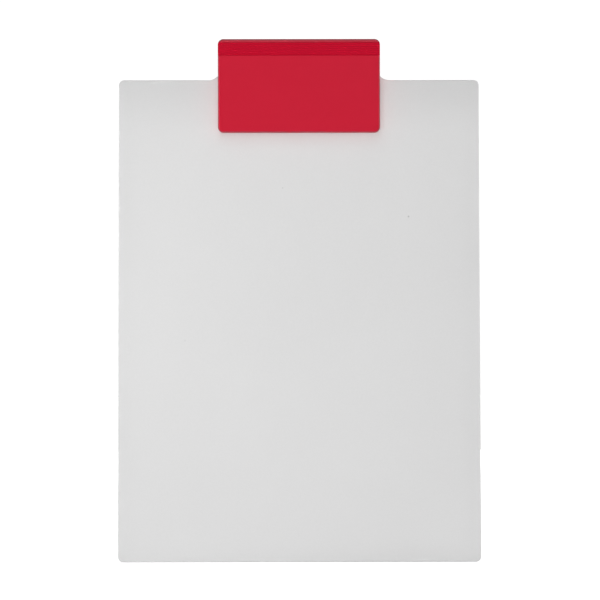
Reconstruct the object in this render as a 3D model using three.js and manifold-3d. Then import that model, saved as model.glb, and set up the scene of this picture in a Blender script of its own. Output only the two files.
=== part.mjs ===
// A letter-size clipboard with a wide squeeze clip, in millimetres.
//
// Frame: the board stands upright. +X is to the right and +Z is up as the writing face is read,
// and the writing face looks towards -Y. The origin is the middle of the board's bottom edge.
//
// The board is one moulded sheet whose tab carries a riveted hinge base. A moulded lever turns on
// a steel pin in that base, and two torsion springs on the pin hold its jaw down on the board.
import * as THREE from 'three';
import { mergeVertices } from 'three/addons/utils/BufferGeometryUtils.js';
import Module from 'manifold-3d';

const wasm = await Module();
wasm.setup();

const rad = THREE.MathUtils.degToRad;

// ---- driving dimensions ----

const BOARD_W = 228.6;
const BOARD_H = 304.8;
const BOARD_T = 3.2;
const BOARD_CORNER_R = 3.3;
const BOARD_EDGE_R = 0.6;

const TAB_W = 99;
const TAB_RISE = 22;
const TAB_FILLET_R = 8;
const TAB_CORNER_R = 4;

const RIM_W = 13; // full-thickness border round the shallow recess in the board's back
const RIM_TOP_W = 27;
const RECESS_DEPTH = 0.6;
const RECESS_CORNER_R = 6;

const PIN_R = 1.2;
const PIN_L = 101.6;
const PIN_Z = BOARD_H + 4.2;
const PIN_OUT = 4.4; // from the board's front face to the pin's axis
const BORE_R = 1.29;

const LEVER_W = 102.4;
const LEVER_BELOW = 38.2; // along the lever's face, from the pin's axis to the jaw's edge
const LEVER_ABOVE = 20.7;
const LEVER_LEAN = rad(4);
const LEVER_CORNER_R = 3.5;
const LEVER_EDGE_R = 1.1;
const LEVER_WALL = 2.1;
const SKIRT_WALL = 1.6;
const SKIRT_GAP = 0.4; // between the lever's skirt and the board at rest
const SKIRT_BEND = 2.5; // half of the curve where the skirt's edge turns away from the board
const TOP_FLANGE = 3.2; // how deep the lever's edge is at the thumb end

const GRIP_RIBS = 6;
const GRIP_PITCH = 1.28;
const GRIP_DEPTH = 0.55;
const GRIP_RIB_H = 0.3;
const GRIP_TOP_LIP = 1.9;
const INNER_RIB_T = 1.5;
const INNER_RIB_H = 2.6; // below the pin, and lower above it, where the lever swings to the tab
const THUMB_RIB_H = 1.2;
const INNER_RIBS_X = [13, 27.2, 38.8];

const JAW_BAR_W = 6.2;
const STRIP_INSET = 1.7; // from the jaw's lower edge
const STRIP_W = 3;
const STRIP_T = 2.2;
const STRIP_L = 92;

const BASE_W = 88;
const BASE_BELOW = 12.5; // below and above the pin's axis
const BASE_ABOVE = 12.5;
const BASE_T = 1.5;
const BASE_CORNER_R = 3;
const BASE_LUGS_X = [15.2, 24.8, 41.6];
const BASE_LUG_T = 2;
const LEVER_LUGS_X = [27.2, 38.8];
const LEVER_LUG_T = 1.9;
const LUG_R = 2.35;
const LUG_FOOT = 8.8;

const WIRE_R = 0.45;
const COIL_R = 1.95;
const COIL_TURNS = 4;
const COIL_PITCH = 1.02;
const SPRING_X = 20;
const BASE_LEG = 10.5;
const LEVER_LEG = 12.5;
const SPRING_STEPS = 104;
const LEG_TILT = rad(-1.2); // how the base's leg leans off the hinge base

const RIVET_X = 33;
const RIVET_DROP = 8; // below and above the pin's axis
const RIVET_R = 1.85;
const RIVET_HEAD_R = 3.8;
const RIVET_HEAD_H = 1.2;
const RIVET_HEAD_EDGE = 0.25;
const RIVET_ROLL_R = 2.8;
const RIVET_ROLL_H = 0.75;
const RIVET_BORE_R = 0.95;
const RIVET_BORE_DEPTH = 1.7;

const FIT_GAP = 0.05; // between faces that rest on each other
const RUNNING_GAP = 0.1; // round a shank, and round the strip in its channel
const OVERCUT = 1; // how far a cutting tool reaches past what it cuts
const ARC_STEPS = 6; // in each quarter or half turn of a lathed rivet

// ---- places worked out from them ----

const FRONT_Y = -BOARD_T / 2;
const BACK_Y = BOARD_T / 2;
const TAB_TOP_Z = BOARD_H + TAB_RISE;
const PIN_Y = FRONT_Y - PIN_OUT;
const LEVER_INNER = LUG_R + 0.35; // from the pin's axis to the inside of the lever's face
const LEVER_FACE = LEVER_INNER + LEVER_WALL;

// ---- materials ----

const frost = new THREE.MeshStandardMaterial({ color: 0xd8d8d8, roughness: 0.5, metalness: 0 });
const red = new THREE.MeshStandardMaterial({ color: 0xc42236, roughness: 0.35, metalness: 0 });
const softGrey = new THREE.MeshStandardMaterial({ color: 0x8f9194, roughness: 0.8, metalness: 0 });
const steel = new THREE.MeshStandardMaterial({ color: 0xb9bcc0, roughness: 0.3, metalness: 1 });
const springSteel = new THREE.MeshStandardMaterial({ color: 0x8b8d90, roughness: 0.35, metalness: 1 });

// ---- solids ----

function solidFrom(geometry) {
  const bare = geometry.clone();
  bare.deleteAttribute('normal');
  bare.deleteAttribute('uv');
  const merged = mergeVertices(bare, 1e-4);
  return new wasm.Manifold(new wasm.Mesh({
    numProp: 3,
    vertProperties: merged.attributes.position.array,
    triVerts: new Uint32Array(merged.index.array),
  }));
}

function geometryFrom(solid) {
  const mesh = solid.getMesh();
  const geometry = new THREE.BufferGeometry();
  geometry.setAttribute('position', new THREE.BufferAttribute(mesh.vertProperties, 3));
  geometry.setIndex(new THREE.BufferAttribute(mesh.triVerts, 1));
  geometry.computeVertexNormals();
  return geometry;
}

const joined = (solid, extras) => extras.reduce((sum, extra) => sum.add(extra), solid);
const cutBy = (solid, tools) => tools.reduce((rest, tool) => rest.subtract(tool), solid);
const mirrored = (places) => places.flatMap((x) => [-x, x]);

// A front-view outline (x, z) as a plate whose back lies at y and which grows towards the viewer.
function plate(outline, y, thickness, edgeR = 0, segments = 6) {
  const geometry = new THREE.ExtrudeGeometry(outline, {
    depth: thickness - 2 * edgeR,
    bevelEnabled: edgeR > 0,
    bevelThickness: edgeR,
    bevelSize: edgeR,
    bevelOffset: -edgeR,
    bevelSegments: 3,
    curveSegments: segments,
  });
  return geometry.translate(0, 0, edgeR).rotateX(Math.PI / 2).translate(0, y, 0);
}

// A side-view outline (y, z) as a slab of the given width, centred on x.
function slab(outline, x, width, segments = 12) {
  const geometry = new THREE.ExtrudeGeometry(outline, {
    depth: width,
    bevelEnabled: false,
    curveSegments: segments,
  });
  const sideways = new THREE.Matrix4().makeBasis(
    new THREE.Vector3(0, 1, 0),
    new THREE.Vector3(0, 0, 1),
    new THREE.Vector3(1, 0, 0),
  );
  return geometry.translate(0, 0, -width / 2).applyMatrix4(sideways).translate(x, 0, 0);
}

function roundedRect(left, right, low, high, r) {
  const shape = new THREE.Shape();
  shape.moveTo(left + r, low);
  shape.lineTo(right - r, low);
  shape.absarc(right - r, low + r, r, -Math.PI / 2, 0);
  shape.lineTo(right, high - r);
  shape.absarc(right - r, high - r, r, 0, Math.PI / 2);
  shape.lineTo(left + r, high);
  shape.absarc(left + r, high - r, r, Math.PI / 2, Math.PI);
  shape.lineTo(left, low + r);
  shape.absarc(left + r, low + r, r, Math.PI, 1.5 * Math.PI);
  return shape;
}

// A round bar along y (for rivet holes) or along x (for the pin and its bores).
function barAlongY(r, x, z, y0, y1, sides = 24) {
  return new THREE.CylinderGeometry(r, r, y1 - y0, sides).translate(x, (y0 + y1) / 2, z);
}

function barAlongX(r, length, sides = 24) {
  return new THREE.CylinderGeometry(r, r, length, sides).rotateZ(Math.PI / 2);
}

// A hinge lug round the pin's axis at the origin: a round nose on flanks that spread to a foot
// at y = foot, which lies in front of the axis or behind it.
function lugOutline(foot) {
  const side = Math.sign(foot);
  const quarter = (side * Math.PI) / 2;
  const shape = new THREE.Shape();
  shape.moveTo(foot, (-side * LUG_FOOT) / 2);
  shape.lineTo(foot, (side * LUG_FOOT) / 2);
  shape.absarc(0, 0, LUG_R, quarter, quarter + Math.PI);
  return shape;
}

// ---- board ----

function boardOutline() {
  const w = BOARD_W / 2;
  const t = TAB_W / 2;
  const r = BOARD_CORNER_R;
  const f = TAB_FILLET_R;
  const c = TAB_CORNER_R;
  const shape = new THREE.Shape();
  shape.moveTo(-w + r, 0);
  shape.lineTo(w - r, 0);
  shape.absarc(w - r, r, r, -Math.PI / 2, 0);
  shape.absarc(w - r, BOARD_H - r, r, 0, Math.PI / 2);
  shape.absarc(t + f, BOARD_H + f, f, -Math.PI / 2, -Math.PI, true);
  shape.absarc(t - c, TAB_TOP_Z - c, c, 0, Math.PI / 2);
  shape.absarc(-t + c, TAB_TOP_Z - c, c, Math.PI / 2, Math.PI);
  shape.absarc(-t - f, BOARD_H + f, f, 0, -Math.PI / 2, true);
  shape.absarc(-w + r, BOARD_H - r, r, Math.PI / 2, Math.PI);
  shape.absarc(-w + r, r, r, Math.PI, 1.5 * Math.PI);
  return shape;
}

const RIVETS = [
  ['upper_left', -RIVET_X, PIN_Z + RIVET_DROP],
  ['upper_right', RIVET_X, PIN_Z + RIVET_DROP],
  ['lower_left', -RIVET_X, PIN_Z - RIVET_DROP],
  ['lower_right', RIVET_X, PIN_Z - RIVET_DROP],
];

function rivetHoles() {
  const reach = PIN_OUT + BOARD_T;
  return RIVETS.map(([, x, z]) => solidFrom(barAlongY(RIVET_R + RUNNING_GAP, x, z, -reach, reach)));
}

function board() {
  const edge = BOARD_W / 2 - RIM_W;
  const recess = roundedRect(-edge, edge, RIM_W, BOARD_H - RIM_TOP_W, RECESS_CORNER_R);
  const pocket = solidFrom(plate(recess, BACK_Y + OVERCUT, RECESS_DEPTH + OVERCUT));
  const sheet = solidFrom(plate(boardOutline(), BACK_Y, BOARD_T, BOARD_EDGE_R));
  return cutBy(sheet, [pocket, ...rivetHoles()]);
}

// ---- hinge base, riveted to the front of the tab ----

function hingeBase() {
  const low = PIN_Z - BASE_BELOW;
  const high = PIN_Z + BASE_ABOVE;
  const outline = roundedRect(-BASE_W / 2, BASE_W / 2, low, high, BASE_CORNER_R);
  const sheet = solidFrom(plate(outline, FRONT_Y - FIT_GAP, BASE_T, BASE_T / 5));
  const foot = PIN_OUT - FIT_GAP - BASE_T / 2;
  const lugs = mirrored(BASE_LUGS_X).map((x) =>
    solidFrom(slab(lugOutline(foot), x, BASE_LUG_T).translate(0, PIN_Y, PIN_Z)));
  const bore = solidFrom(barAlongX(BORE_R, BASE_W + OVERCUT).translate(0, PIN_Y, PIN_Z));
  return cutBy(joined(sheet, lugs), [bore, ...rivetHoles()]);
}

// ---- lever: its own frame has the pin's axis as origin and its face parallel to the x-z plane ----

const leverPlace = new THREE.Matrix4()
  .makeTranslation(0, PIN_Y, PIN_Z)
  .multiply(new THREE.Matrix4().makeRotationX(LEVER_LEAN));
const intoLever = leverPlace.clone().invert();

// Where a plane parallel to the board, the given height in front of it, lies in the lever's frame.
const leverBackY = (z, height) => (PIN_OUT - height + z * Math.sin(LEVER_LEAN)) / Math.cos(LEVER_LEAN);

// The lever seen from its side: a skirt close to the board below the pin, and a narrow flange above.
function leverSide() {
  const front = -LEVER_FACE - OVERCUT;
  const flange = -LEVER_FACE + TOP_FLANGE;
  const nearBoard = leverBackY(0, SKIRT_GAP);
  const taper = (nearBoard - flange) / LEVER_ABOVE;
  const shape = new THREE.Shape();
  shape.moveTo(front, -LEVER_BELOW - OVERCUT);
  shape.lineTo(leverBackY(-LEVER_BELOW - OVERCUT, SKIRT_GAP), -LEVER_BELOW - OVERCUT);
  shape.lineTo(leverBackY(-SKIRT_BEND, SKIRT_GAP), -SKIRT_BEND);
  shape.quadraticCurveTo(nearBoard, 0, nearBoard - taper * SKIRT_BEND, SKIRT_BEND);
  shape.lineTo(flange - taper * OVERCUT, LEVER_ABOVE + OVERCUT);
  shape.lineTo(front, LEVER_ABOVE + OVERCUT);
  return shape;
}

// The tool that cuts the thumb grip: its floor leaves a row of rounded ribs standing.
function gripCut() {
  const top = LEVER_ABOVE - GRIP_TOP_LIP;
  const margin = GRIP_PITCH * 0.35;
  const floor = -LEVER_FACE + GRIP_DEPTH;
  const stepsPerRib = 6;
  const steps = GRIP_RIBS * stepsPerRib;
  const shape = new THREE.Shape();
  shape.moveTo(-LEVER_FACE - OVERCUT, top);
  shape.lineTo(floor, top);
  for (let i = 0; i <= steps; i++) {
    const crest = Math.sin((Math.PI * i) / stepsPerRib) ** 2;
    shape.lineTo(floor - GRIP_RIB_H * crest, top - margin - (GRIP_PITCH * i) / stepsPerRib);
  }
  const low = top - 2 * margin - GRIP_PITCH * GRIP_RIBS;
  shape.lineTo(floor, low);
  shape.lineTo(-LEVER_FACE - OVERCUT, low);
  return slab(shape, 0, LEVER_W + 2 * OVERCUT);
}

// The jaw's soft strip, square to the board at rest. With a clearance it is the strip's channel.
function stripBox(clearance = 0) {
  const jawEdge = PIN_Z - LEVER_BELOW * Math.cos(LEVER_LEAN);
  const box = new THREE.BoxGeometry(
    STRIP_L + 2 * clearance, STRIP_T + 2 * clearance, STRIP_W + 2 * clearance);
  box.translate(0, FRONT_Y - 2 * FIT_GAP - STRIP_T / 2, jawEdge + STRIP_INSET + STRIP_W / 2);
  return box.applyMatrix4(intoLever);
}

function innerRib(x, low, high, height) {
  const sunk = LEVER_WALL / 4;
  const box = new THREE.BoxGeometry(INNER_RIB_T, height + sunk, high - low);
  return solidFrom(box.translate(x, -LEVER_INNER + (height - sunk) / 2, (low + high) / 2));
}

function leverRibs() {
  const jawSide = -LEVER_BELOW + JAW_BAR_W - OVERCUT / 2;
  const gap = LUG_FOOT / 2 + OVERCUT;
  return [0, ...mirrored(INNER_RIBS_X)].flatMap((x) => [
    innerRib(x, jawSide, -BASE_BELOW + LUG_FOOT / 2, INNER_RIB_H),
    innerRib(x, gap, LEVER_ABOVE - SKIRT_WALL / 2, THUMB_RIB_H),
  ]);
}

function lever() {
  const half = LEVER_W / 2;
  const outline = roundedRect(-half, half, -LEVER_BELOW, LEVER_ABOVE, LEVER_CORNER_R);
  const depth = LEVER_FACE + PIN_OUT + 2 * OVERCUT;
  const blank = solidFrom(plate(outline, depth - LEVER_FACE, depth, LEVER_EDGE_R, 8));
  const hollow = roundedRect(-half + SKIRT_WALL, half - SKIRT_WALL,
    -LEVER_BELOW + JAW_BAR_W, LEVER_ABOVE - SKIRT_WALL, LEVER_CORNER_R - SKIRT_WALL);
  const shell = cutBy(blank.intersect(solidFrom(slab(leverSide(), 0, LEVER_W + 2 * OVERCUT))), [
    solidFrom(plate(hollow, depth - LEVER_INNER, depth)),
    solidFrom(gripCut()),
    solidFrom(stripBox(RUNNING_GAP)),
  ]);
  const lugs = mirrored(LEVER_LUGS_X).map((x) =>
    solidFrom(slab(lugOutline(-LEVER_INNER - LEVER_WALL / 4), x, LEVER_LUG_T)));
  const bore = solidFrom(barAlongX(BORE_R, LEVER_W + 2 * OVERCUT));
  return joined(shell, [...lugs, ...leverRibs()]).subtract(bore);
}

// ---- hinge pin, springs and rivets ----

function pin() {
  const chamfer = PIN_R / 4;
  const half = PIN_L / 2;
  const profile = [
    [0, -half], [PIN_R - chamfer, -half], [PIN_R, -half + chamfer],
    [PIN_R, half - chamfer], [PIN_R - chamfer, half], [0, half],
  ];
  return new THREE.LatheGeometry(profile.map(([r, y]) => new THREE.Vector2(r, y)), 24)
    .rotateZ(Math.PI / 2);
}

// The wire's centre line: down the leg on the base, round the coil, and up the leg on the lever.
class TorsionSpringPath extends THREE.Curve {
  constructor() {
    super();
    this.start = LEG_TILT;
    this.sweep = Math.PI - LEVER_LEAN + this.start + 2 * Math.PI * COIL_TURNS;
    this.coil = this.sweep * COIL_R;
    this.total = BASE_LEG + this.coil + LEVER_LEG;
  }

  onCoil(angle) {
    const turned = (this.start - angle) / (2 * Math.PI);
    const across = COIL_PITCH * (turned - this.sweep / (4 * Math.PI));
    return new THREE.Vector3(across, COIL_R * Math.cos(angle), COIL_R * Math.sin(angle));
  }

  getPoint(t, target = new THREE.Vector3()) {
    const s = t * this.total;
    const end = this.start - this.sweep;
    if (s < BASE_LEG) {
      const up = new THREE.Vector3(0, -Math.sin(this.start), Math.cos(this.start));
      return target.copy(this.onCoil(this.start)).addScaledVector(up, BASE_LEG - s);
    }
    if (s > BASE_LEG + this.coil) {
      const up = new THREE.Vector3(0, Math.sin(end), -Math.cos(end));
      return target.copy(this.onCoil(end)).addScaledVector(up, s - BASE_LEG - this.coil);
    }
    return target.copy(this.onCoil(this.start - (s - BASE_LEG) / COIL_R));
  }
}

function torsionSpring() {
  const wire = new THREE.Shape();
  wire.absarc(0, 0, WIRE_R, 0, 2 * Math.PI);
  return new THREE.ExtrudeGeometry(wire, {
    steps: SPRING_STEPS,
    curveSegments: 7,
    extrudePath: new TorsionSpringPath(),
  });
}

// A tubular rivet along y: a domed head behind the board and a rolled rim on the hinge base.
function rivet() {
  const headSeat = BACK_Y + FIT_GAP;
  const rollSeat = FRONT_Y - 2 * FIT_GAP - BASE_T;
  const roll = (RIVET_ROLL_R - RIVET_BORE_R) / 2;
  const points = [[0, rollSeat + RIVET_BORE_DEPTH + RIVET_BORE_R / 2]];
  points.push([RIVET_BORE_R, rollSeat + RIVET_BORE_DEPTH]);
  for (let i = 0; i <= ARC_STEPS; i++) {
    const a = Math.PI * (1 - i / ARC_STEPS);
    points.push([RIVET_BORE_R + roll * (1 + Math.cos(a)), rollSeat - RIVET_ROLL_H * Math.sin(a)]);
  }
  points.push([RIVET_R, rollSeat], [RIVET_R, headSeat], [RIVET_HEAD_R, headSeat]);
  for (let i = 0; i < ARC_STEPS; i++) {
    const a = (Math.PI / 2) * (i / ARC_STEPS);
    const rise = RIVET_HEAD_EDGE + (RIVET_HEAD_H - RIVET_HEAD_EDGE) * Math.sin(a);
    points.push([RIVET_HEAD_R * Math.cos(a), headSeat + rise]);
  }
  points.push([0, headSeat + RIVET_HEAD_H]);
  return new THREE.LatheGeometry(points.map(([r, y]) => new THREE.Vector2(r, y)), 20);
}

// ---- assembly ----

const clipboard = new THREE.Group();
clipboard.name = 'clipboard';

function place(parent, name, geometry, material, position = [0, 0, 0]) {
  const mesh = new THREE.Mesh(geometry, material);
  mesh.name = name;
  mesh.position.set(...position);
  parent.add(mesh);
}

place(clipboard, 'board', geometryFrom(board()), frost);
place(clipboard, 'hinge_base', geometryFrom(hingeBase()), red);
place(clipboard, 'hinge_pin', pin(), steel, [0, PIN_Y, PIN_Z]);

for (const [side, x] of [['left', -SPRING_X], ['right', SPRING_X]]) {
  place(clipboard, `torsion_spring_${side}`, torsionSpring(), springSteel, [x, PIN_Y, PIN_Z]);
}
for (const [where, x, z] of RIVETS) {
  place(clipboard, `rivet_${where}`, rivet(), steel, [x, 0, z]);
}

const swinging = new THREE.Group();
swinging.applyMatrix4(leverPlace);
clipboard.add(swinging);
place(swinging, 'clip_lever', geometryFrom(lever()), red);
place(swinging, 'jaw_grip_strip', stripBox(), softGrey);

export default clipboard;
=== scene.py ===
import math

import bmesh
import bpy
from mathutils import Matrix, Vector


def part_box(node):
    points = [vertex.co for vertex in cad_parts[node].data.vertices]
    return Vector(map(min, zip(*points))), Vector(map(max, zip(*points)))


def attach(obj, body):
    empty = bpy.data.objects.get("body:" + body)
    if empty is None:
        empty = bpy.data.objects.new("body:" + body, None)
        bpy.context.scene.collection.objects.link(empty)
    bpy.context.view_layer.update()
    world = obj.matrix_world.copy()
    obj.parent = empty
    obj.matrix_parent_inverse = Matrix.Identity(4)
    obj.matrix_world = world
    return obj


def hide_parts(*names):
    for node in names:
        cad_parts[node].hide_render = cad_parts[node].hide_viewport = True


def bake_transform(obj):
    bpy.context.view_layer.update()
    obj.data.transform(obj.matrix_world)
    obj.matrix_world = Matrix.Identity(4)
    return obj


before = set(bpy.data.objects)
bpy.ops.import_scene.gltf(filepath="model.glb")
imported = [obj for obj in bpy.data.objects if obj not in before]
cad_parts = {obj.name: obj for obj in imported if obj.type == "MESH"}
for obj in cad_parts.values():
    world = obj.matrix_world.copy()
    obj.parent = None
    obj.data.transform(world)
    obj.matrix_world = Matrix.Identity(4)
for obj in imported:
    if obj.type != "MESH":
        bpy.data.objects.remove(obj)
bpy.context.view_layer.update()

# Looks for a letter-size clipboard with a wide squeeze clip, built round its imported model.
# Shapes are written in millimetres, in the frame's axes, and become metres when a piece is made.
# +X is to the right, -Y comes out of the writing face and +Z is up the board.

MM = 0.001


def box_mm(node):
    """Lowest and highest corner of a CAD node, in millimetres."""
    low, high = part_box(node)
    return low / MM, high / MM


# ---- names and sizes read from the frame ----

BOARD_LOW, BOARD_HIGH = box_mm("board")
PIN_LOW, PIN_HIGH = box_mm("hinge_pin")
BASE_LOW, BASE_HIGH = box_mm("hinge_base")
RIVETS = [name for name in sorted(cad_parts) if name.startswith("rivet_")]
SPRINGS = [name for name in sorted(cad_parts) if name.startswith("torsion_spring_")]

FRONT = BOARD_LOW.y
BACK = BOARD_HIGH.y
HALF_W = BOARD_HIGH.x
PIN = (PIN_LOW + PIN_HIGH) / 2
PIN_R = (PIN_HIGH.z - PIN_LOW.z) / 2
PIN_OUT = FRONT - PIN.y
LEVER_HALF_W = box_mm("clip_lever")[1].x

# ---- sizes of the design ----

FIT_GAP = 0.05

# Board: a sheet with a tab behind the clip and, in its back, a shallow recess inside a rim.
BOARD_H = 304.8
BOARD_CORNER_R = 3.3
BOARD_EDGE_R = 0.6
TAB_HALF_W = 49.5
TAB_FILLET_R = 8.0
TAB_CORNER_R = 4.0
RIM_W = 13.0
RIM_TOP_W = 27.0
RECESS_DEPTH = 0.6
RECESS_CORNER_R = 6.0

# Lever: drawn upright with the pin's axis as its origin, then leant back and moved to the pin.
LEVER_LEAN = math.radians(4)
LEVER_BELOW = 38.2
LEVER_ABOVE = 20.7
LEVER_CORNER_R = 3.5
LEVER_EDGE_R = 1.1
LEVER_WALL = 2.1
SKIRT_WALL = 1.6
SKIRT_GAP = 0.4
SKIRT_BEND = 2.5
SKIRT_EDGE_R = 0.35
TOP_FLANGE = 3.2
JAW_BAR_W = 6.2

# Thumb grip: a recessed band of ribs under the lever's top edge.
GRIP_RIBS = 6
GRIP_PITCH = 1.28
GRIP_DEPTH = 0.55
GRIP_RIB_H = 0.3
GRIP_TOP_LIP = 1.9
GRIP_MARGIN = GRIP_PITCH * 0.35
GRIP_TOP = LEVER_ABOVE - GRIP_TOP_LIP
GRIP_LOW = GRIP_TOP - 2 * GRIP_MARGIN - GRIP_PITCH * GRIP_RIBS

# Hinge: stiffening ribs and lugs behind the lever's face, and the base with its own lugs.
INNER_RIB_T = 1.5
INNER_RIB_H = 2.6
THUMB_RIB_H = 1.2
INNER_RIBS_X = (0, -13, 13, -27.2, 27.2, -38.8, 38.8)
LEVER_LUGS_X = (-38.8, -27.2, 27.2, 38.8)
LEVER_LUG_T = 1.9
BASE_LUGS_X = (-41.6, -24.8, -15.2, 15.2, 24.8, 41.6)
BASE_LUG_T = 2.0
LUG_R = 2.35
LUG_CLEAR = 0.35
LUG_FOOT = 8.8
BORE_R = 1.29
BORE_END_R = 0.2
BASE_T = 1.5
BASE_CORNER_R = 3.0
BASE_BELOW = 12.5

# Depths from the pin's axis to the hollow behind the lever's face and to the face, and the lever's place.
LEVER_INNER = LUG_R + LUG_CLEAR
LEVER_FACE = LEVER_INNER + LEVER_WALL
LEVER_PLACE = Matrix.Translation(PIN) @ Matrix.Rotation(LEVER_LEAN, 4, "X")

# Soft strip in the jaw.
STRIP_INSET = 1.7
STRIP_W = 3.0
STRIP_T = 2.2
STRIP_HALF_L = 46.0
STRIP_EDGE_R = 0.4
STRIP_GAP = 0.1
GROOVES = 4
GROOVE_DEPTH = 0.24
GROOVE_MARGIN = 0.2

# Torsion springs.
WIRE_R = 0.45
COIL_R = 1.95
COIL_TURNS = 4
COIL_PITCH = 1.02
BASE_LEG = 10.5
LEVER_LEG = 12.5
LEG_TILT = math.radians(-1.2)

# Rivets: a domed head behind the board and a rolled end on the base.
RIVET_R = 1.85
RIVET_HEAD_R = 3.8
RIVET_HEAD_H = 1.2
RIVET_HEAD_EDGE = 0.25
RIVET_ROLL_R = 2.8
RIVET_ROLL_H = 0.75
RIVET_BORE_R = 0.95
RIVET_BORE_DEPTH = 1.7
RIVET_CLEAR = 0.1
RIVET_HOLE_R = RIVET_R + RIVET_CLEAR

# ---- colours, as linear red, green and blue, and finishes ----

BOARD_TONE = 0.765
RED = (0.592, 0.0056, 0.030)
DEEP_RED = (0.568, 0.0048, 0.0265)
# A darker, greyer red for painted shade and sheen on rounded edges.
PAINTED_EDGE_RED = (0.36, 0.062, 0.085)
# Lighter and darker reds for a painted highlight on the grip's rib crests and painted shade in their
# valleys.
RIB_CREST_HIGHLIGHT_RED = (0.63, 0.0056, 0.0315)
RIB_VALLEY_SHADE_RED = (0.48, 0.0042, 0.0238)
GRIP_GREY = (0.29, 0.29, 0.30)
DARK_GRIP_GREY = (0.23, 0.23, 0.24)

# Specular levels: the lever's thumb grip is nearly dull and the rest of it is satin.
PANEL_SHINE = 0.25
GRIP_SHINE = 0.05

# Features per metre in the fine grain of a moulded face.
GRAIN = 2600

# Faint marks on the board's face: (x, z, radius, shade).
SPECKS = ((69.3, 217.8, 0.8, 0.72), (-10.4, 236.1, 0.7, 0.86), (-72.3, 139.4, 0.9, 0.93))

# ---- fineness of the meshes ----

ARC_STEPS = 12
ROUND_STEPS = 6
CORNER_ROWS = 16
RIB_ROWS = 10
WELD = 1e-4
SMOOTH_ANGLE = math.radians(32)


# ---- outlines: corners are (x, z, radius, start, end), with angles in degrees ----

def rounded_rect(left, right, low, high, r):
    return [
        (left + r, low + r, r, 180, 270),
        (right - r, low + r, r, 270, 360),
        (right - r, high - r, r, 0, 90),
        (left + r, high - r, r, 90, 180),
    ]


def board_corners():
    r = BOARD_CORNER_R
    f = TAB_FILLET_R
    c = TAB_CORNER_R
    top = BOARD_HIGH.z
    return [
        (-HALF_W + r, r, r, 180, 270),
        (HALF_W - r, r, r, 270, 360),
        (HALF_W - r, BOARD_H - r, r, 0, 90),
        (TAB_HALF_W + f, BOARD_H + f, f, 270, 180),
        (TAB_HALF_W - c, top - c, c, 0, 90),
        (-TAB_HALF_W + c, top - c, c, 90, 180),
        (-TAB_HALF_W - f, BOARD_H + f, f, 360, 270),
        (-HALF_W + r, BOARD_H - r, r, 90, 180),
    ]


def ring(corners, inset, y):
    """Points round an outline drawn in by inset, at depth y. A corner that runs clockwise is hollow."""
    points = []
    for x, z, r, start, end in corners:
        reach = r - inset if end > start else r + inset
        for i in range(ARC_STEPS + 1):
            a = math.radians(start + (end - start) * i / ARC_STEPS)
            points.append((x + reach * math.cos(a), y, z + reach * math.sin(a)))
    return points


def circle(x, z, r, y, steps=32):
    """Points round a circle that faces along Y, at depth y."""
    turn = [2 * math.pi * i / steps for i in range(steps)]
    return [(x + r * math.cos(a), y, z + r * math.sin(a)) for a in turn]


def quarter_round(r):
    """(inset, depth) pairs over a rounded edge, from the flat face to the side."""
    angles = [math.pi / 2 * i / ROUND_STEPS for i in range(ROUND_STEPS + 1)]
    return [(r * (1 - math.sin(a)), r * (1 - math.cos(a))) for a in angles]


# ---- mesh helpers ----

def loop(bm, points):
    return [bm.verts.new(p) for p in points]


def skin(bm, loops):
    """Quads between each closed loop and the next."""
    for a, b in zip(loops, loops[1:]):
        for i in range(len(a)):
            j = (i + 1) % len(a)
            bm.faces.new((a[i], a[j], b[j], b[i]))


def fill(bm, loops):
    """A flat face inside the first loop and outside the others."""
    edges = []
    for verts in loops:
        for a, b in zip(verts, verts[1:] + verts[:1]):
            edges.append(bm.edges.get((a, b)) or bm.edges.new((a, b)))
    bmesh.ops.triangle_fill(bm, use_beauty=True, use_dissolve=False, edges=edges)


def plate(bm, corners, front, back, edge, holes=()):
    """A sheet with rounded edges and round holes (x, z, radius). Its two faces are left open."""
    rounded = quarter_round(edge)
    loops = [loop(bm, ring(corners, inset, front + depth)) for inset, depth in rounded]
    loops += [loop(bm, ring(corners, inset, back - depth)) for inset, depth in reversed(rounded)]
    skin(bm, loops)
    fronts = [loops[0]]
    backs = [loops[-1]]
    for x, z, r in holes:
        walls = [loop(bm, circle(x, z, r, y)) for y in (front, back)]
        skin(bm, walls)
        fronts.append(walls[0])
        backs.append(walls[1])
    return fronts, backs


def prism(outline, x, width):
    """A slab across x from a side-view outline of (y, z) points."""
    bm = bmesh.new()
    loops = [loop(bm, [(side, y, z) for y, z in outline]) for side in (x - width / 2, x + width / 2)]
    skin(bm, loops)
    for verts in loops:
        bm.faces.new(verts)
    return bm


def lathe(bm, profile, turn=Matrix.Identity(4), steps=48):
    """A body of revolution about Y from (radius, y) points. The profile starts and ends on the axis."""
    rows = []
    for r, y in profile:
        if r == 0:
            rows.append([bm.verts.new((0, y, 0))])
        else:
            rows.append(loop(bm, circle(0, 0, r, y, steps)))
    for a, b in zip(rows, rows[1:]):
        for i in range(steps):
            j = (i + 1) % steps
            corners = [a[i % len(a)], a[j % len(a)], b[j % len(b)], b[i % len(b)]]
            bm.faces.new(list(dict.fromkeys(corners)))
    bm.transform(turn)


def rod(r, length, end_round):
    """A bar along X with rounded ends, centred on the origin."""
    half = length / 2
    ends = [(r - inset, half - depth) for depth, inset in quarter_round(end_round)]
    profile = [(0, -half)] + [(x, -y) for x, y in reversed(ends)] + ends + [(0, half)]
    bm = bmesh.new()
    lathe(bm, profile, Matrix.Rotation(-math.pi / 2, 4, "Z"))
    return bm


def new_object(name, bm, place=Matrix.Identity(4)):
    """Turns millimetres into metres and gives the mesh to a new object with its faces turned outward."""
    bmesh.ops.remove_doubles(bm, verts=bm.verts, dist=WELD)
    bmesh.ops.recalc_face_normals(bm, faces=bm.faces)
    bm.transform(Matrix.Scale(MM, 4) @ place)
    mesh = bpy.data.meshes.new(name)
    bm.to_mesh(mesh)
    bm.free()
    made = bpy.data.objects.new(name, mesh)
    bpy.context.scene.collection.objects.link(made)
    return made


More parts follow.
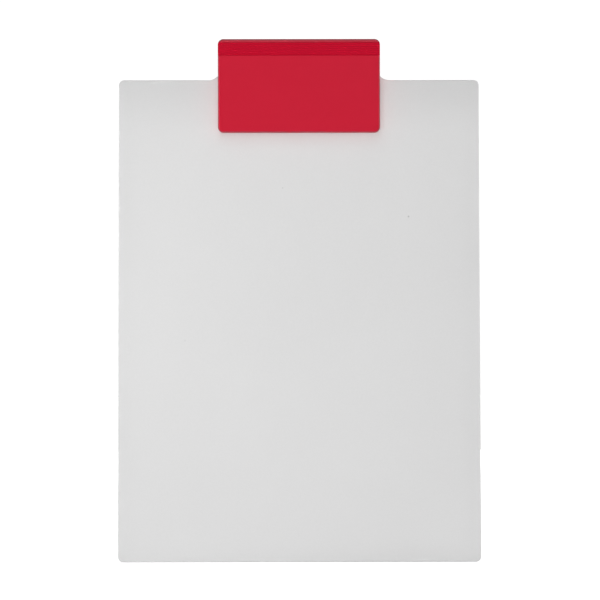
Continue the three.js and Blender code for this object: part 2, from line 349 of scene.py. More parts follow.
def combine(piece, operation, tools):
    """Adds tools to a piece, or cuts them from it, and removes them."""
    for tool in tools:
        modifier = piece.modifiers.new("combine", "BOOLEAN")
        modifier.operation = operation
        modifier.solver = "EXACT"
        modifier.object = tool
        evaluated = piece.evaluated_get(bpy.context.evaluated_depsgraph_get())
        result = bpy.data.meshes.new_from_object(evaluated)
        piece.modifiers.clear()
        piece.data = result
        bpy.data.objects.remove(tool)
    return piece


def smooth(piece):
    """Smooth shading with real corners kept sharp."""
    bm = bmesh.new()
    bm.from_mesh(piece.data)
    bmesh.ops.remove_doubles(bm, verts=bm.verts, dist=WELD * MM)
    bmesh.ops.dissolve_degenerate(bm, edges=bm.edges, dist=WELD * MM)
    for face in bm.faces:
        face.smooth = True
    for edge in bm.edges:
        edge.smooth = edge.is_manifold and edge.calc_face_angle(0) < SMOOTH_ANGLE
    bm.to_mesh(piece.data)
    bm.free()
    weighted = piece.modifiers.new("even_normals", "WEIGHTED_NORMAL")
    weighted.keep_sharp = True
    return piece


def settle(piece, node, material, body):
    """Finishes a piece that stands for a CAD node."""
    smooth(piece)
    piece.data.materials.clear()
    piece.data.materials.append(material)
    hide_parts(node)
    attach(piece, body)


# ---- materials ----

def add(tree, kind, inputs=None, **settings):
    """A shader node. An input is a value, or another node's output to link."""
    made = tree.nodes.new(kind)
    for key, value in settings.items():
        setattr(made, key, value)
    for key, value in (inputs or {}).items():
        if isinstance(value, bpy.types.NodeSocket):
            tree.links.new(value, made.inputs[key])
        else:
            made.inputs[key].default_value = value
    return made


def start_material(name, colour, roughness, metallic=0.0):
    """A principled material, with its tree and the position on the piece in metres."""
    material = bpy.data.materials.new(name)
    material.use_nodes = True
    material.diffuse_color = (*colour, 1)
    tree = material.node_tree
    shader = tree.nodes["Principled BSDF"]
    shader.inputs["Base Color"].default_value = (*colour, 1)
    shader.inputs["Roughness"].default_value = roughness
    shader.inputs["Metallic"].default_value = metallic
    position = add(tree, "ShaderNodeTexCoord").outputs["Object"]
    return material, tree, shader, position


def math_node(tree, operation, a, b=0.0):
    return add(tree, "ShaderNodeMath", {0: a, 1: b}, operation=operation).outputs[0]


def vector_node(tree, operation, a, b=(0, 0, 0)):
    """The number that a vector operation gives, such as a length or a dot product."""
    return add(tree, "ShaderNodeVectorMath", {0: a, 1: b}, operation=operation).outputs["Value"]


def noise(tree, position, scale, detail=3.0, stretch=(1, 1, 1), roughness=0.5):
    """Noise with about scale features per metre, drawn out along an axis by a small stretch."""
    mapped = add(tree, "ShaderNodeMapping", {"Vector": position, "Scale": stretch})
    inputs = {
        "Vector": mapped.outputs["Vector"],
        "Scale": scale,
        "Detail": detail,
        "Roughness": roughness,
    }
    return add(tree, "ShaderNodeTexNoise", inputs).outputs["Fac"]


def remap(tree, value, from_low, from_high, to_low, to_high, kind="SMOOTHSTEP"):
    """Turns one range of values into another and holds its ends beyond them."""
    inputs = {
        "Value": value,
        "From Min": from_low,
        "From Max": from_high,
        "To Min": to_low,
        "To Max": to_high,
    }
    return add(tree, "ShaderNodeMapRange", inputs, interpolation_type=kind).outputs["Result"]


def vary(tree, value, low, high):
    """Noise, which is seldom outside 0.3 to 0.7, spread smoothly from low to high."""
    return remap(tree, value, 0.3, 0.7, low, high)


def mix(tree, amount, a, b):
    """The first colour where amount is nought and the second where it is one."""
    made = add(tree, "ShaderNodeMix", data_type="RGBA")
    for socket, value in ((made.inputs[0], amount), (made.inputs[6], a), (made.inputs[7], b)):
        if isinstance(value, bpy.types.NodeSocket):
            tree.links.new(value, socket)
        else:
            socket.default_value = value
    return made.outputs[2]


def bump(tree, height, distance, strength, normal=None):
    """A roughened normal. Distance is the height in metres that a change of one in height stands for."""
    inputs = {"Height": height, "Distance": distance, "Strength": strength}
    if normal:
        inputs["Normal"] = normal
    return add(tree, "ShaderNodeBump", inputs).outputs["Normal"]


def frosted_plastic():
    """Colourless frosted styrene: soft light inside, a fine matt grain, and painted shade that darkens it
    towards its edges, most of all at the top.
    """
    pale = (BOARD_TONE, BOARD_TONE, BOARD_TONE)
    material, tree, shader, position = start_material("frosted_plastic", pale, roughness=0.46)
    axes = add(tree, "ShaderNodeSeparateXYZ", {0: position}).outputs
    from_side = math_node(tree, "SUBTRACT", HALF_W * MM, math_node(tree, "ABSOLUTE", axes["X"]))
    from_top = math_node(tree, "SUBTRACT", BOARD_H * MM, axes["Z"])
    # Painted shade darkens the face towards its sides, its foot and most of all its top. The other shades
    # are random tone and specks.
    painted_side_shade = 0.99
    painted_low_shade = 0.975
    painted_top_shade = 0.92
    shades = [
        remap(tree, from_side, 0.3 * RIM_W * MM, 1.1 * RIM_W * MM, painted_side_shade, 1.0),
        remap(tree, axes["Z"], 0, 1.1 * RIM_W * MM, painted_low_shade, 1.0),
        remap(tree, from_top, -0.1 * RIM_TOP_W * MM, 1.3 * RIM_TOP_W * MM, painted_top_shade, 1.0),
        vary(tree, noise(tree, position, 9), 0.992, 1.008),
        vary(tree, noise(tree, position, 700, detail=2), 0.994, 1.006),
    ]
    for x, z, r, shade in SPECKS:
        from_speck = vector_node(tree, "DISTANCE", position, (x * MM, FRONT * MM, z * MM))
        shades.append(remap(tree, from_speck, 0.4 * r * MM, r * MM, shade, 1.0))
    value = BOARD_TONE
    for shade in shades:
        value = math_node(tree, "MULTIPLY", value, shade)
    colour = add(tree, "ShaderNodeCombineColor", {0: value, 1: value, 2: value}).outputs[0]
    tree.links.new(colour, shader.inputs["Base Color"])

    scuff = noise(tree, position, 60, detail=4, stretch=(0.25, 1, 3.0), roughness=0.6)
    polished = remap(tree, scuff, 0.55, 0.75, 0.0, 0.08)
    grain = noise(tree, position, GRAIN, detail=2)
    matt = remap(tree, grain, 0, 1, 0.42, 0.5, "LINEAR")
    tree.links.new(math_node(tree, "SUBTRACT", matt, polished), shader.inputs["Roughness"])
    waves = bump(tree, noise(tree, position, 5, detail=1), distance=0.5 * MM, strength=0.5)
    skin_normal = bump(tree, grain, distance=0.02 * MM, strength=0.6, normal=waves)
    tree.links.new(skin_normal, shader.inputs["Normal"])

    shader.inputs["Subsurface Weight"].default_value = 0.3
    shader.inputs["Subsurface Radius"].default_value = (1, 1, 1)
    shader.inputs["Subsurface Scale"].default_value = 2.5 * MM
    shader.inputs["Specular IOR Level"].default_value = 0.4
    return material


def red_plastic(name, grip=False):
    """Satin moulded styrene: faint flow clouding, a fine grain and, in patches, a painted shade and sheen
    on rounded edges.

    With grip it is the lever's, with a deeper, duller red on the thumb grip, painted lighter on the ribs'
    crests and darker in their valleys, and painted shade and sheen on the lip above them.
    """
    material, tree, shader, position = start_material(name, RED, roughness=0.42)
    cloud = noise(tree, position, 35, stretch=(0.4, 1, 1))
    colour = mix(tree, vary(tree, cloud, 0, 0.5), (*RED, 1), (*DEEP_RED, 1))

    # Facing is one on the lever's front, nought on its sides and between them on its rounded edges.
    normal = add(tree, "ShaderNodeTexCoord").outputs["Normal"]
    ahead = Vector((0, -math.cos(LEVER_LEAN), -math.sin(LEVER_LEAN)))
    facing = vector_node(tree, "DOT_PRODUCT", normal, ahead)
    turned = remap(tree, facing, 0.86, 0.995, 1, 0)
    # Painted shade and sheen: rounded edges turn, in patches, to a darker, greyer red.
    rounded = math_node(tree, "MULTIPLY", turned, remap(tree, facing, 0.0, 0.4, 0, 1))
    patchy = remap(tree, noise(tree, position, 220), 0.35, 0.65, 0.6, 1)
    colour = mix(tree, math_node(tree, "MULTIPLY", rounded, patchy), colour, (*PAINTED_EDGE_RED, 1))

    grain = noise(tree, position, GRAIN, detail=2)
    smears = noise(tree, position, 45, detail=4, stretch=(0.5, 1, 1.6), roughness=0.6)
    tree.links.new(vary(tree, smears, 0.38, 0.47), shader.inputs["Roughness"])
    shader.inputs["Specular IOR Level"].default_value = PANEL_SHINE
    if grip:
        height = height_above_pin(tree, position)
        # Painted shade and sheen on the lip above the grip.
        painted_top_lip = remap(tree, height, GRIP_TOP * MM, (GRIP_TOP + 0.3) * MM, 0, 0.45)
        colour = mix(tree, painted_top_lip, colour, (*PAINTED_EDGE_RED, 1))
        band, crest = grip_band(tree, height)
        band = math_node(tree, "MULTIPLY", band, remap(tree, facing, 0.3, 0.6, 0, 1))
        # Painted highlight on the ribs' crests and painted shade in their valleys.
        painted_rib_shading = mix(tree, crest, (*RIB_VALLEY_SHADE_RED, 1), (*RIB_CREST_HIGHLIGHT_RED, 1))
        colour = mix(tree, band, colour, painted_rib_shading)
        shine = remap(tree, band, 0, 1, PANEL_SHINE, GRIP_SHINE, "LINEAR")
        tree.links.new(shine, shader.inputs["Specular IOR Level"])
        grain = math_node(tree, "MULTIPLY", grain, remap(tree, band, 0, 1, 1, 0, "LINEAR"))
    tree.links.new(colour, shader.inputs["Base Color"])
    waves = bump(tree, noise(tree, position, 18, detail=1), distance=0.08 * MM, strength=0.5)
    skin_normal = bump(tree, grain, distance=0.008 * MM, strength=0.5, normal=waves)
    tree.links.new(skin_normal, shader.inputs["Normal"])
    return material


def height_above_pin(tree, position):
    """Height up the lever's leaning face from the pin, in metres."""
    up = Vector((0, -math.sin(LEVER_LEAN), math.cos(LEVER_LEAN)))
    height = vector_node(tree, "DOT_PRODUCT", position, up)
    return math_node(tree, "SUBTRACT", height, up.dot(PIN) * MM)


def grip_band(tree, height):
    """Two masks: the thumb grip's recessed band, and the crests of the ribs in it, which get painted
    highlight against painted shade in the valleys.
    """
    soft = 0.1
    above = remap(tree, height, (GRIP_LOW - soft) * MM, (GRIP_LOW + soft) * MM, 0, 1)
    below = remap(tree, height, (GRIP_TOP - soft) * MM, (GRIP_TOP + soft) * MM, 1, 0)
    along = math_node(tree, "SUBTRACT", (GRIP_TOP - GRIP_MARGIN) * MM, height)
    wave = math_node(tree, "COSINE", math_node(tree, "MULTIPLY", along, 2 * math.pi / (GRIP_PITCH * MM)))
    band = math_node(tree, "MULTIPLY", above, below)
    crest = remap(tree, wave, -1, 1, 1, 0, "LINEAR")
    return band, crest


def steel(name, tone, roughness, along):
    """Drawn or plated steel with fine lines along one axis."""
    metal = (tone, 0.99 * tone, 0.97 * tone)
    material, tree, shader, position = start_material(name, metal, roughness, metallic=1.0)
    stretch = tuple(0.03 if axis == along else 1 for axis in "XYZ")
    lines = noise(tree, position, 5000, stretch=stretch)
    stain = noise(tree, position, 350, detail=4)
    dull = tuple(0.72 * part for part in metal)
    colour = mix(tree, remap(tree, stain, 0.45, 0.7, 0, 0.6), (*metal, 1), (*dull, 1))
    tree.links.new(colour, shader.inputs["Base Color"])
    tree.links.new(vary(tree, lines, roughness - 0.06, roughness + 0.1), shader.inputs["Roughness"])
    tree.links.new(bump(tree, lines, distance=0.01 * MM, strength=0.5), shader.inputs["Normal"])
    return material


def soft_grip():
    """Matt grey rubber with a fine uneven skin."""
    material, tree, shader, position = start_material("soft_grip", GRIP_GREY, roughness=0.75)
    cloud = vary(tree, noise(tree, position, 180, detail=4), 0, 1)
    colour = mix(tree, cloud, (*GRIP_GREY, 1), (*DARK_GRIP_GREY, 1))
    tree.links.new(colour, shader.inputs["Base Color"])
    skin_normal = bump(tree, noise(tree, position, 2200), distance=0.03 * MM, strength=0.6)
    tree.links.new(skin_normal, shader.inputs["Normal"])
    return material


# ---- board ----

def rivet_places():
    """(x, z) of each rivet, from the frame."""
    places = []
    for name in RIVETS:
        low, high = box_mm(name)
        places.append(((low.x + high.x) / 2, (low.z + high.z) / 2))
    return places


def make_board():
    """The sheet with its rivet holes, and a rounded step down to the recess in its back."""
    bm = bmesh.new()
    holes = [(x, z, RIVET_HOLE_R) for x, z in rivet_places()]
    fronts, backs = plate(bm, board_corners(), FRONT, BACK, BOARD_EDGE_R, holes)
    edge = HALF_W - RIM_W
    recess = rounded_rect(-edge, edge, RIM_W, BOARD_H - RIM_TOP_W, RECESS_CORNER_R)
    lip = RECESS_DEPTH / 2
    rounded = quarter_round(lip)
    steps = [loop(bm, ring(recess, -inset, BACK - depth)) for inset, depth in rounded]
    steps += [loop(bm, ring(recess, lip - inset, BACK - RECESS_DEPTH + depth))
              for inset, depth in reversed(rounded)]
    skin(bm, steps)
    fill(bm, fronts)
    fill(bm, backs + [steps[0]])
    fill(bm, [steps[-1]])
    return new_object("frosted_board", bm)


# ---- lever ----

def lever_back(z):
    """Where a plane parallel to the board, just in front of it, lies in the lever's own frame."""
    return (PIN_OUT - SKIRT_GAP + z * math.sin(LEVER_LEAN)) / math.cos(LEVER_LEAN)


def skirt_edge(z):
    """Depth of the skirt's free edge: close to the board below the pin, and up to a flange above it."""
    near = lever_back(0)
    flange = TOP_FLANGE - LEVER_FACE
    taper = (near - flange) / LEVER_ABOVE
    if z <= -SKIRT_BEND:
        return lever_back(z)
    if z >= SKIRT_BEND:
        return near - taper * z
    t = (z + SKIRT_BEND) / (2 * SKIRT_BEND)
    start = lever_back(-SKIRT_BEND)
    end = near - taper * SKIRT_BEND
    return start * (1 - t) ** 2 + 2 * near * t * (1 - t) + end * t * t


def grip_depth(z):
    """How far the thumb grip lies behind the lever's face: a recessed band of rounded ribs."""
    if not GRIP_LOW < z < GRIP_TOP:
        return 0.0
    along = GRIP_TOP - GRIP_MARGIN - z
    crest = 0.0
    if 0 < along < GRIP_PITCH * GRIP_RIBS:
        crest = math.sin(math.pi * along / GRIP_PITCH) ** 2
    return GRIP_DEPTH - GRIP_RIB_H * crest


def from_outline(x, z):
    """Distance inward from the lever's rounded outline."""
    middle = (LEVER_ABOVE - LEVER_BELOW) / 2
    half_h = (LEVER_ABOVE + LEVER_BELOW) / 2
    out_x = abs(x) - (LEVER_HALF_W - LEVER_CORNER_R)
    out_z = abs(z - middle) - (half_h - LEVER_CORNER_R)
    outside = math.hypot(max(out_x, 0), max(out_z, 0))
    return LEVER_CORNER_R - outside - min(max(out_x, out_z), 0)


def half_width_at(z):
    """Half of the lever's width at a height, inside its corner arcs."""
    from_end = min(z + LEVER_BELOW, LEVER_ABOVE - z)
    if from_end >= LEVER_CORNER_R:
        return LEVER_HALF_W
    drop = LEVER_CORNER_R - max(from_end, 0)
    return LEVER_HALF_W - LEVER_CORNER_R + math.sqrt(max(LEVER_CORNER_R ** 2 - drop ** 2, 0))


def front_depth(x, z):
    """How far the lever's front lies behind its flat face: its rounded edge, or the thumb grip."""
    inward = from_outline(x, z)
    rounding = 0.0
    if inward < LEVER_EDGE_R:
        rounding = LEVER_EDGE_R - math.sqrt(max(LEVER_EDGE_R ** 2 - (LEVER_EDGE_R - inward) ** 2, 0))
    return max(rounding, grip_depth(z))


def row_heights():
    """Heights of the rows of the lever's face, close together where it curves."""
    arc = [math.pi / 2 * i / CORNER_ROWS for i in range(CORNER_ROWS + 1)]
    ends = [LEVER_CORNER_R * (1 - math.cos(a)) for a in arc]
    ends += [inset for inset, depth in quarter_round(LEVER_EDGE_R)]
    rows = [-LEVER_BELOW + end for end in ends] + [LEVER_ABOVE - end for end in ends]
    rib_rows = range(GRIP_RIBS * RIB_ROWS + 1)
    rows += [GRIP_TOP - GRIP_MARGIN - GRIP_PITCH * i / RIB_ROWS for i in rib_rows]
    step = 0.12
    rows += [GRIP_TOP, GRIP_TOP + step, GRIP_LOW, GRIP_LOW - step]
    panel_pitch = 10.0
    rows += [-panel_pitch * i for i in range(4)]
    rows.sort()
    least_gap = 0.02
    kept = [rows[0]]
    for z in rows[1:]:
        if z - kept[-1] > least_gap:
            kept.append(z)
    return kept


def row_points(z):
    """Points across the lever's face at one height, from left to right."""
    half = half_width_at(z)
    insets = [inset for inset, depth in reversed(quarter_round(LEVER_EDGE_R))]
    beside_edge = [1.6, 2.4, 3.6]
    side = [half - inset for inset in insets + beside_edge]
    spans = 6
    middle = [side[-1] * i / spans for i in range(spans - 1, 0, -1)]
    right = side + middle
    return [(-x, z) for x in right] + [(0.0, z)] + [(x, z) for x in reversed(right)]


def lever_shell():
    """The lever's face, its skirt and the hollow behind, as one closed skin."""
    bm = bmesh.new()
    rows = []
    for z in row_heights():
        rows.append([bm.verts.new((x, -LEVER_FACE + front_depth(x, z), z)) for x, z in row_points(z)])
    for low, high in zip(rows, rows[1:]):
        for i in range(len(low) - 1):
            bm.faces.new((low[i], low[i + 1], high[i + 1], high[i]))
    rim = rows[0] + [row[-1] for row in rows[1:-1]] + rows[-1][::-1] + [row[0] for row in rows[-2:0:-1]]
    rim_points = [(v.co.x, v.co.z) for v in rim]
    loops = [rim]
    for inset, depth in reversed(quarter_round(SKIRT_EDGE_R)):
        points = [inset_point(x, z, inset) for x, z in rim_points]
        loops.append(loop(bm, [(x, skirt_edge(z) - depth, z) for x, z in points]))
    inner = [hollow_point(x, z) for x, z in rim_points]
    loops.append(loop(bm, [(x, skirt_edge(z), z) for x, z in inner]))
    loops.append(loop(bm, [(x, -LEVER_INNER, z) for x, z in inner]))
    skin(bm, loops)
    bmesh.ops.remove_doubles(bm, verts=bm.verts, dist=WELD)
    hollow = [e for e in bm.edges if e.is_boundary]
    bmesh.ops.triangle_fill(bm, use_beauty=True, edges=hollow)
    return new_object("red_clip_lever", bm, LEVER_PLACE)


def corner_frame(x, z):
    """The nearest point of the lever outline's core rectangle, and the direction outward from it."""
    core_x = LEVER_HALF_W - LEVER_CORNER_R
    low = -LEVER_BELOW + LEVER_CORNER_R
    high = LEVER_ABOVE - LEVER_CORNER_R
    near = Vector((max(-core_x, min(core_x, x)), max(low, min(high, z))))
    return near, (Vector((x, z)) - near).normalized()


def inset_point(x, z, inset):
    """A point of the lever's outline, drawn in by inset."""
    near, outward = corner_frame(x, z)
    return tuple(near + outward * (LEVER_CORNER_R - inset))


def hollow_point(x, z):
    """The matching point on the hollow behind the face, which leaves a wide bar at the jaw."""
    near, outward = corner_frame(x, z)
    r = LEVER_CORNER_R - SKIRT_WALL
    low = -LEVER_BELOW + JAW_BAR_W + r
    near.y = max(near.y, low)
    return tuple(near + outward * r)


def lug(foot, x, width):
    """A hinge lug round the pin's axis: a round nose on flanks that spread to a foot at y = foot."""
    side = math.copysign(1, foot)
    outline = [(foot, -side * LUG_FOOT / 2), (foot, side * LUG_FOOT / 2)]
    for i in range(2 * ARC_STEPS + 1):
        a = side * math.pi / 2 + math.pi * i / (2 * ARC_STEPS)
        outline.append((LUG_R * math.cos(a), LUG_R * math.sin(a)))
    return prism(outline, x, width)


def box_outline(y0, y1, z0, z1):
    """The side view of a block between two depths and two heights."""
    return [(y0, z0), (y1, z0), (y1, z1), (y0, z1)]


def rib_blocks():
    """Stiffening ribs behind the face, high below the pin and low above it."""
    sunk = -LEVER_INNER - LEVER_WALL / 4
    overlap = 0.5
    clear = 1
    spans = [
        (-LEVER_BELOW + JAW_BAR_W - overlap, -BASE_BELOW + LUG_FOOT / 2, INNER_RIB_H),
        (LUG_FOOT / 2 + clear, LEVER_ABOVE - SKIRT_WALL / 2, THUMB_RIB_H),
    ]
    for x in INNER_RIBS_X:
        for low, high, height in spans:
            yield prism(box_outline(sunk, -LEVER_INNER + height, low, high), x, INNER_RIB_T)


def strip_box():
    """(low, high) corners of the jaw's soft strip."""
    z = PIN.z - LEVER_BELOW * math.cos(LEVER_LEAN) + STRIP_INSET
    y = FRONT - 2 * FIT_GAP
    return Vector((-STRIP_HALF_L, y - STRIP_T, z)), Vector((STRIP_HALF_L, y, z + STRIP_W))


def make_lever():
    """The shell with its lugs and ribs, cut by the strip's channel and the pin's bore."""
    shell = lever_shell()
    solids = [lug(-LEVER_INNER - LEVER_WALL / 4, x, LEVER_LUG_T) for x in LEVER_LUGS_X]
    solids += list(rib_blocks())
    combine(shell, "UNION", [new_object("tool", bm, LEVER_PLACE) for bm in solids])
    low, high = strip_box()
    past = 1
    channel = box_outline(low.y - STRIP_GAP, high.y + past, low.z - STRIP_GAP, high.z + STRIP_GAP)
    bore = rod(BORE_R, 2 * LEVER_HALF_W + 4 * past, BORE_END_R)
    cuts = [new_object("tool", prism(channel, 0, 2 * (STRIP_HALF_L + STRIP_GAP)))]
    cuts.append(new_object("tool", bore, LEVER_PLACE))
    return combine(shell, "DIFFERENCE", cuts)


# ---- hinge base, pin, strip ----

def make_base():
    """The plate on the tab, with its hinge lugs, rivet holes and the pin's bore."""
    bm = bmesh.new()
    seat = FRONT - FIT_GAP
    corners = rounded_rect(BASE_LOW.x, BASE_HIGH.x, BASE_LOW.z, BASE_HIGH.z, BASE_CORNER_R)
    holes = [(x, z, RIVET_HOLE_R) for x, z in rivet_places()]
    fronts, backs = plate(bm, corners, seat - BASE_T, seat, BASE_T / 5, holes)
    fill(bm, fronts)
    fill(bm, backs)
    base = new_object("red_hinge_base", bm)
    foot = PIN_OUT - FIT_GAP - BASE_T / 2
    place = Matrix.Translation(PIN)
    lugs = [new_object("tool", lug(foot, x, BASE_LUG_T), place) for x in BASE_LUGS_X]
    combine(base, "UNION", lugs)
    past = 1
    bore = new_object("tool", rod(BORE_R, 2 * (BASE_HIGH.x + past), BORE_END_R), place)
    return combine(base, "DIFFERENCE", [bore])


def make_pin():
    end_r = 0.3
    return new_object("steel_hinge_pin", rod(PIN_R, 2 * PIN_HIGH.x, end_r), Matrix.Translation(PIN))


def make_strip():
    """A soft bar with rounded edges and fine grooves along the face that presses the paper."""
    low, high = strip_box()
    outline = []
    for z, start in ((high.z - STRIP_EDGE_R, 90), (low.z + STRIP_EDGE_R, 180)):
        for i in range(ROUND_STEPS + 1):
            a = math.radians(start + 90 * i / ROUND_STEPS)
            y = low.y + STRIP_EDGE_R
            outline.append((y + STRIP_EDGE_R * math.cos(a), z + STRIP_EDGE_R * math.sin(a)))
    inside_box = 0.02
    steps = 8 * GROOVES
    for i in range(steps + 1):
        t = i / steps
        dip = GROOVE_DEPTH / 2 * (1 - math.cos(2 * math.pi * GROOVES * t))
        z = low.z + GROOVE_MARGIN + (STRIP_W - 2 * GROOVE_MARGIN) * t
        outline.append((high.y - dip - inside_box, z))
    return new_object("jaw_strip", prism(outline, 0, 2 * STRIP_HALF_L))


# ---- springs ----

def spring_path():
    """Centre line of a torsion spring about the pin: a leg on the base, the coil and a leg on the lever."""
    sweep = math.pi - LEVER_LEAN + LEG_TILT + 2 * math.pi * COIL_TURNS
    coil_steps = 40 * COIL_TURNS
    leg_steps = 8

    def on_coil(turned):
        across = COIL_PITCH * (turned - sweep / 2) / (2 * math.pi)
        angle = LEG_TILT - turned
        return Vector((across, COIL_R * math.cos(angle), COIL_R * math.sin(angle)))

    base_up = Vector((0, -math.sin(LEG_TILT), math.cos(LEG_TILT)))
    end = LEG_TILT - sweep
    lever_up = Vector((0, math.sin(end), -math.cos(end)))
    path = [on_coil(0) + base_up * BASE_LEG * (1 - i / leg_steps) for i in range(leg_steps)]
    path += [on_coil(sweep * i / coil_steps) for i in range(coil_steps + 1)]
    path += [on_coil(sweep) + lever_up * LEVER_LEG * i / leg_steps for i in range(1, leg_steps + 1)]
    return path


def sweep_wire(bm, path, r, sides=16):
    """A round wire with slightly tapered cut ends, along a path that never runs straight along X."""
    rings = []
    last = len(path) - 1
    turn = [2 * math.pi * k / sides for k in range(sides)]
    end_r = 0.7 * r
    end_length = 0.3 * r
    for i, point in enumerate(path):
        tangent = (path[min(i + 1, last)] - path[max(i - 1, 0)]).normalized()
        normal = (Vector((1, 0, 0)) - tangent * tangent.x).normalized()
        binormal = tangent.cross(normal)
        sections = [(r, 0.0)]
        if i == 0:
            sections = [(end_r, -end_length), (r, 0.0)]
        if i == last:
            sections = [(r, 0.0), (end_r, end_length)]
        for radius, ahead in sections:
            centre = point + tangent * ahead
            spokes = [normal * math.cos(a) + binormal * math.sin(a) for a in turn]
            rings.append(loop(bm, [centre + radius * spoke for spoke in spokes]))
    skin(bm, rings)
    bm.faces.new(rings[0])
    bm.faces.new(rings[-1])


def make_spring(node, material):
    """The wire's legs follow the board and the lever, and the coil turns between them."""
    low, high = box_mm(node)
    middle = Vector(((low.x + high.x) / 2, PIN.y, PIN.z))
    bm = bmesh.new()
    sweep_wire(bm, spring_path(), WIRE_R)
    spring = new_object(node + "_wire", bm, Matrix.Translation(middle))
    smooth(spring)
    spring.data.materials.append(material)
    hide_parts(node)
    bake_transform(spring)


# ---- rivets ----

def rivet_profile():
    """(radius, y) points from the rolled front end to the domed head behind the board."""
    head = BACK + FIT_GAP
    rim = FRONT - 2 * FIT_GAP - BASE_T
    roll = (RIVET_ROLL_R - RIVET_BORE_R) / 2
    points = [(0, rim + RIVET_BORE_DEPTH + RIVET_BORE_R / 2), (RIVET_BORE_R, rim + RIVET_BORE_DEPTH)]
    for i in range(2 * ROUND_STEPS + 1):
        a = math.pi * (1 - i / (2 * ROUND_STEPS))
        points.append((RIVET_BORE_R + roll * (1 + math.cos(a)), rim - RIVET_ROLL_H * math.sin(a)))
    points += [(RIVET_R, rim), (RIVET_R, head), (RIVET_HEAD_R, head)]
    steps = 2 * ROUND_STEPS
    for i in range(steps):
        a = math.pi / 2 * i / steps
        rise = RIVET_HEAD_EDGE + (RIVET_HEAD_H - RIVET_HEAD_EDGE) * math.sin(a)
        points.append((RIVET_HEAD_R * math.cos(a), head + rise))
    points.append((0, head + RIVET_HEAD_H))
    return points


def make_rivet(node, place):
    bm = bmesh.new()
    lathe(bm, rivet_profile())
    return new_object(node + "_steel", bm, Matrix.Translation((place[0], 0, place[1])))


# ---- stage, light and camera ----

def make_floor():
    """A pale floor that glows for the camera only, so that it looks white with soft shadows."""
    half = 30 / MM
    bm = bmesh.new()
    bm.faces.new(loop(bm, [(-half, -half, 0), (half, -half, 0), (half, half, 0), (-half, half, 0)]))
    floor = new_object("studio_floor", bm)
    pale = 0.62
    material, tree, shader, position = start_material("studio_floor", (pale, pale, pale), roughness=0.9)
    tone = vary(tree, noise(tree, position, 3, detail=2), pale - 0.01, pale + 0.01)
    colour = add(tree, "ShaderNodeCombineColor", {0: tone, 1: tone, 2: tone}).outputs[0]
    tree.links.new(colour, shader.inputs["Base Color"])
    near_glow = 0.76
    far_glow = 1.02
    glow = remap(tree, vector_node(tree, "LENGTH", position), 0.4, 1.6, near_glow, far_glow)
    seen = add(tree, "ShaderNodeLightPath").outputs["Is Camera Ray"]
    shader.inputs["Specular IOR Level"].default_value = 0.0
    shader.inputs["Emission Color"].default_value = (1, 1, 1, 1)
    tree.links.new(math_node(tree, "MULTIPLY", seen, glow), shader.inputs["Emission Strength"])
    material.cycles.emission_sampling = "NONE"
    floor.data.materials.append(material)


def make_world():
    """White for the camera, and a dim even room that lights the pieces."""
    world = bpy.data.worlds.new("studio")
    world.use_nodes = True
    bpy.context.scene.world = world
    tree = world.node_tree
    tree.nodes.clear()
    white = (1, 1, 1, 1)
    room = add(tree, "ShaderNodeBackground", {"Color": white, "Strength": 0.08})
    backdrop = add(tree, "ShaderNodeBackground", {"Color": white, "Strength": 1.05})
    seen = add(tree, "ShaderNodeLightPath").outputs["Is Camera Ray"]
    both = add(tree, "ShaderNodeMixShader", {0: seen, 1: room.outputs[0], 2: backdrop.outputs[0]})
    add(tree, "ShaderNodeOutputWorld", {"Surface": both.outputs[0]})


def make_light(name, azimuth, rise, distance, size, power, glossy=True, diffuse=True, shadow=True):
    """A square softbox aimed at the board's middle. Azimuth 0 is in front of it and 90 to its right.

    Without glossy it has no reflections, without diffuse it has nothing but reflections, and without
    shadow it shines through the pieces.
    """
    aim = Vector((0, 0, 0.16))
    turn = math.radians(azimuth)
    lift = math.radians(rise)
    out = Vector((math.sin(turn) * math.cos(lift), -math.cos(turn) * math.cos(lift), math.sin(lift)))
    data = bpy.data.lights.new(name, "AREA")
    data.shape = "SQUARE"
    data.size = size
    data.energy = power
    data.use_shadow = shadow
    light = bpy.data.objects.new(name, data)
    light.location = aim + distance * out
    light.rotation_euler = out.to_track_quat("Z", "Y").to_euler()
    light.visible_glossy = glossy
    light.visible_diffuse = diffuse
    light.visible_camera = False
    bpy.context.scene.collection.objects.link(light)


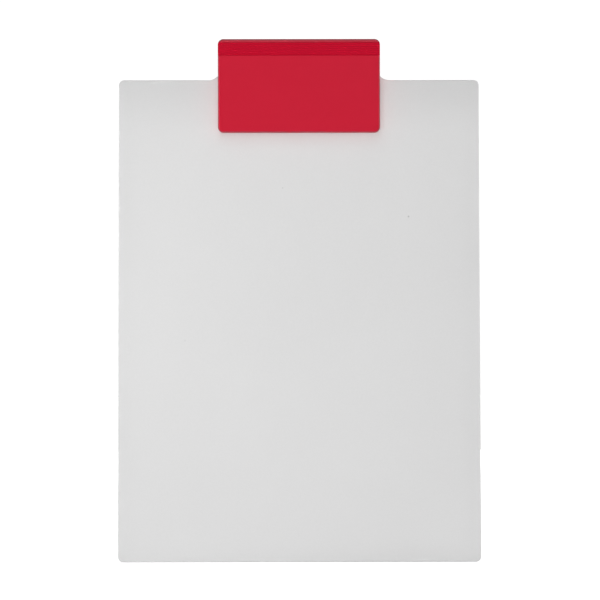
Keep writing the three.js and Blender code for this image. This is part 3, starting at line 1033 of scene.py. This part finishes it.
def make_camera():
    """Nearly square to the board from a little below its middle, tilted up by a few degrees."""
    place = Vector((-0.0035, -1.3, 0.1085))
    pitch = math.radians(2.49)
    yaw = math.radians(-0.176)
    roll = math.radians(0.09)
    data = bpy.data.cameras.new("camera")
    data.sensor_width = 36
    data.lens = 123.33
    data.clip_start = 0.05
    camera = bpy.data.objects.new("camera", data)
    turn = Matrix.Rotation(yaw, 4, "Z") @ Matrix.Rotation(pitch, 4, "X") @ Matrix.Rotation(roll, 4, "Y")
    upright = Matrix.Rotation(math.pi / 2, 4, "X")
    camera.matrix_world = Matrix.Translation(place) @ turn @ upright
    bpy.context.scene.collection.objects.link(camera)
    bpy.context.scene.camera = camera


# ---- build ----

plated = steel("plated_steel", tone=0.62, roughness=0.26, along="X")
rivet_steel = steel("rivet_steel", tone=0.6, roughness=0.3, along="Y")
wire = steel("spring_wire", tone=0.42, roughness=0.34, along="Z")
red_base = red_plastic("red_base_plastic")
red_lever = red_plastic("red_lever_plastic", grip=True)

settle(make_board(), "board", frosted_plastic(), "board_body")
settle(make_base(), "hinge_base", red_base, "board_body")
settle(make_lever(), "clip_lever", red_lever, "lever_body")
settle(make_pin(), "hinge_pin", plated, "lever_body")
settle(make_strip(), "jaw_grip_strip", soft_grip(), "lever_body")
for node, place in zip(RIVETS, rivet_places()):
    settle(make_rivet(node, place), node, rivet_steel, "board_body")
for node in SPRINGS:
    make_spring(node, wire)

make_floor()
make_world()

# Front lights. The near one makes the board a little brighter on its left.
make_light("broad_fill", azimuth=-3, rise=3, distance=1.2, size=0.95, power=4.4, glossy=False)
make_light("core_fill", azimuth=-1.5, rise=-4, distance=1.6, size=0.12, power=6.6, glossy=False)
make_light("near_fill", azimuth=-30, rise=-9, distance=0.7, size=0.1, power=1.2, glossy=False,
           shadow=False)
make_light("high_front", azimuth=-10, rise=50, distance=1.8, size=0.9, power=4.2)

# Cards seen only as reflections, along the clip's rounded edges.
make_light("left_card", azimuth=-68, rise=8, distance=1.2, size=0.7, power=7.5, diffuse=False)
make_light("right_card", azimuth=68, rise=8, distance=1.2, size=0.7, power=6, diffuse=False)

# Lights in the plane of the board, for the clip's side walls, and behind it.
for side, name in ((-1, "left_side"), (1, "right_side")):
    make_light(name, azimuth=92 * side, rise=8, distance=1.2, size=0.5, power=3, glossy=False,
               shadow=False)
make_light("back_fill", azimuth=172, rise=6, distance=2.4, size=0.5, power=20, glossy=False)
make_light("back_box", azimuth=115, rise=20, distance=1.3, size=0.5, power=7)
make_camera()
bpy.context.scene.view_settings.view_transform = "Standard"
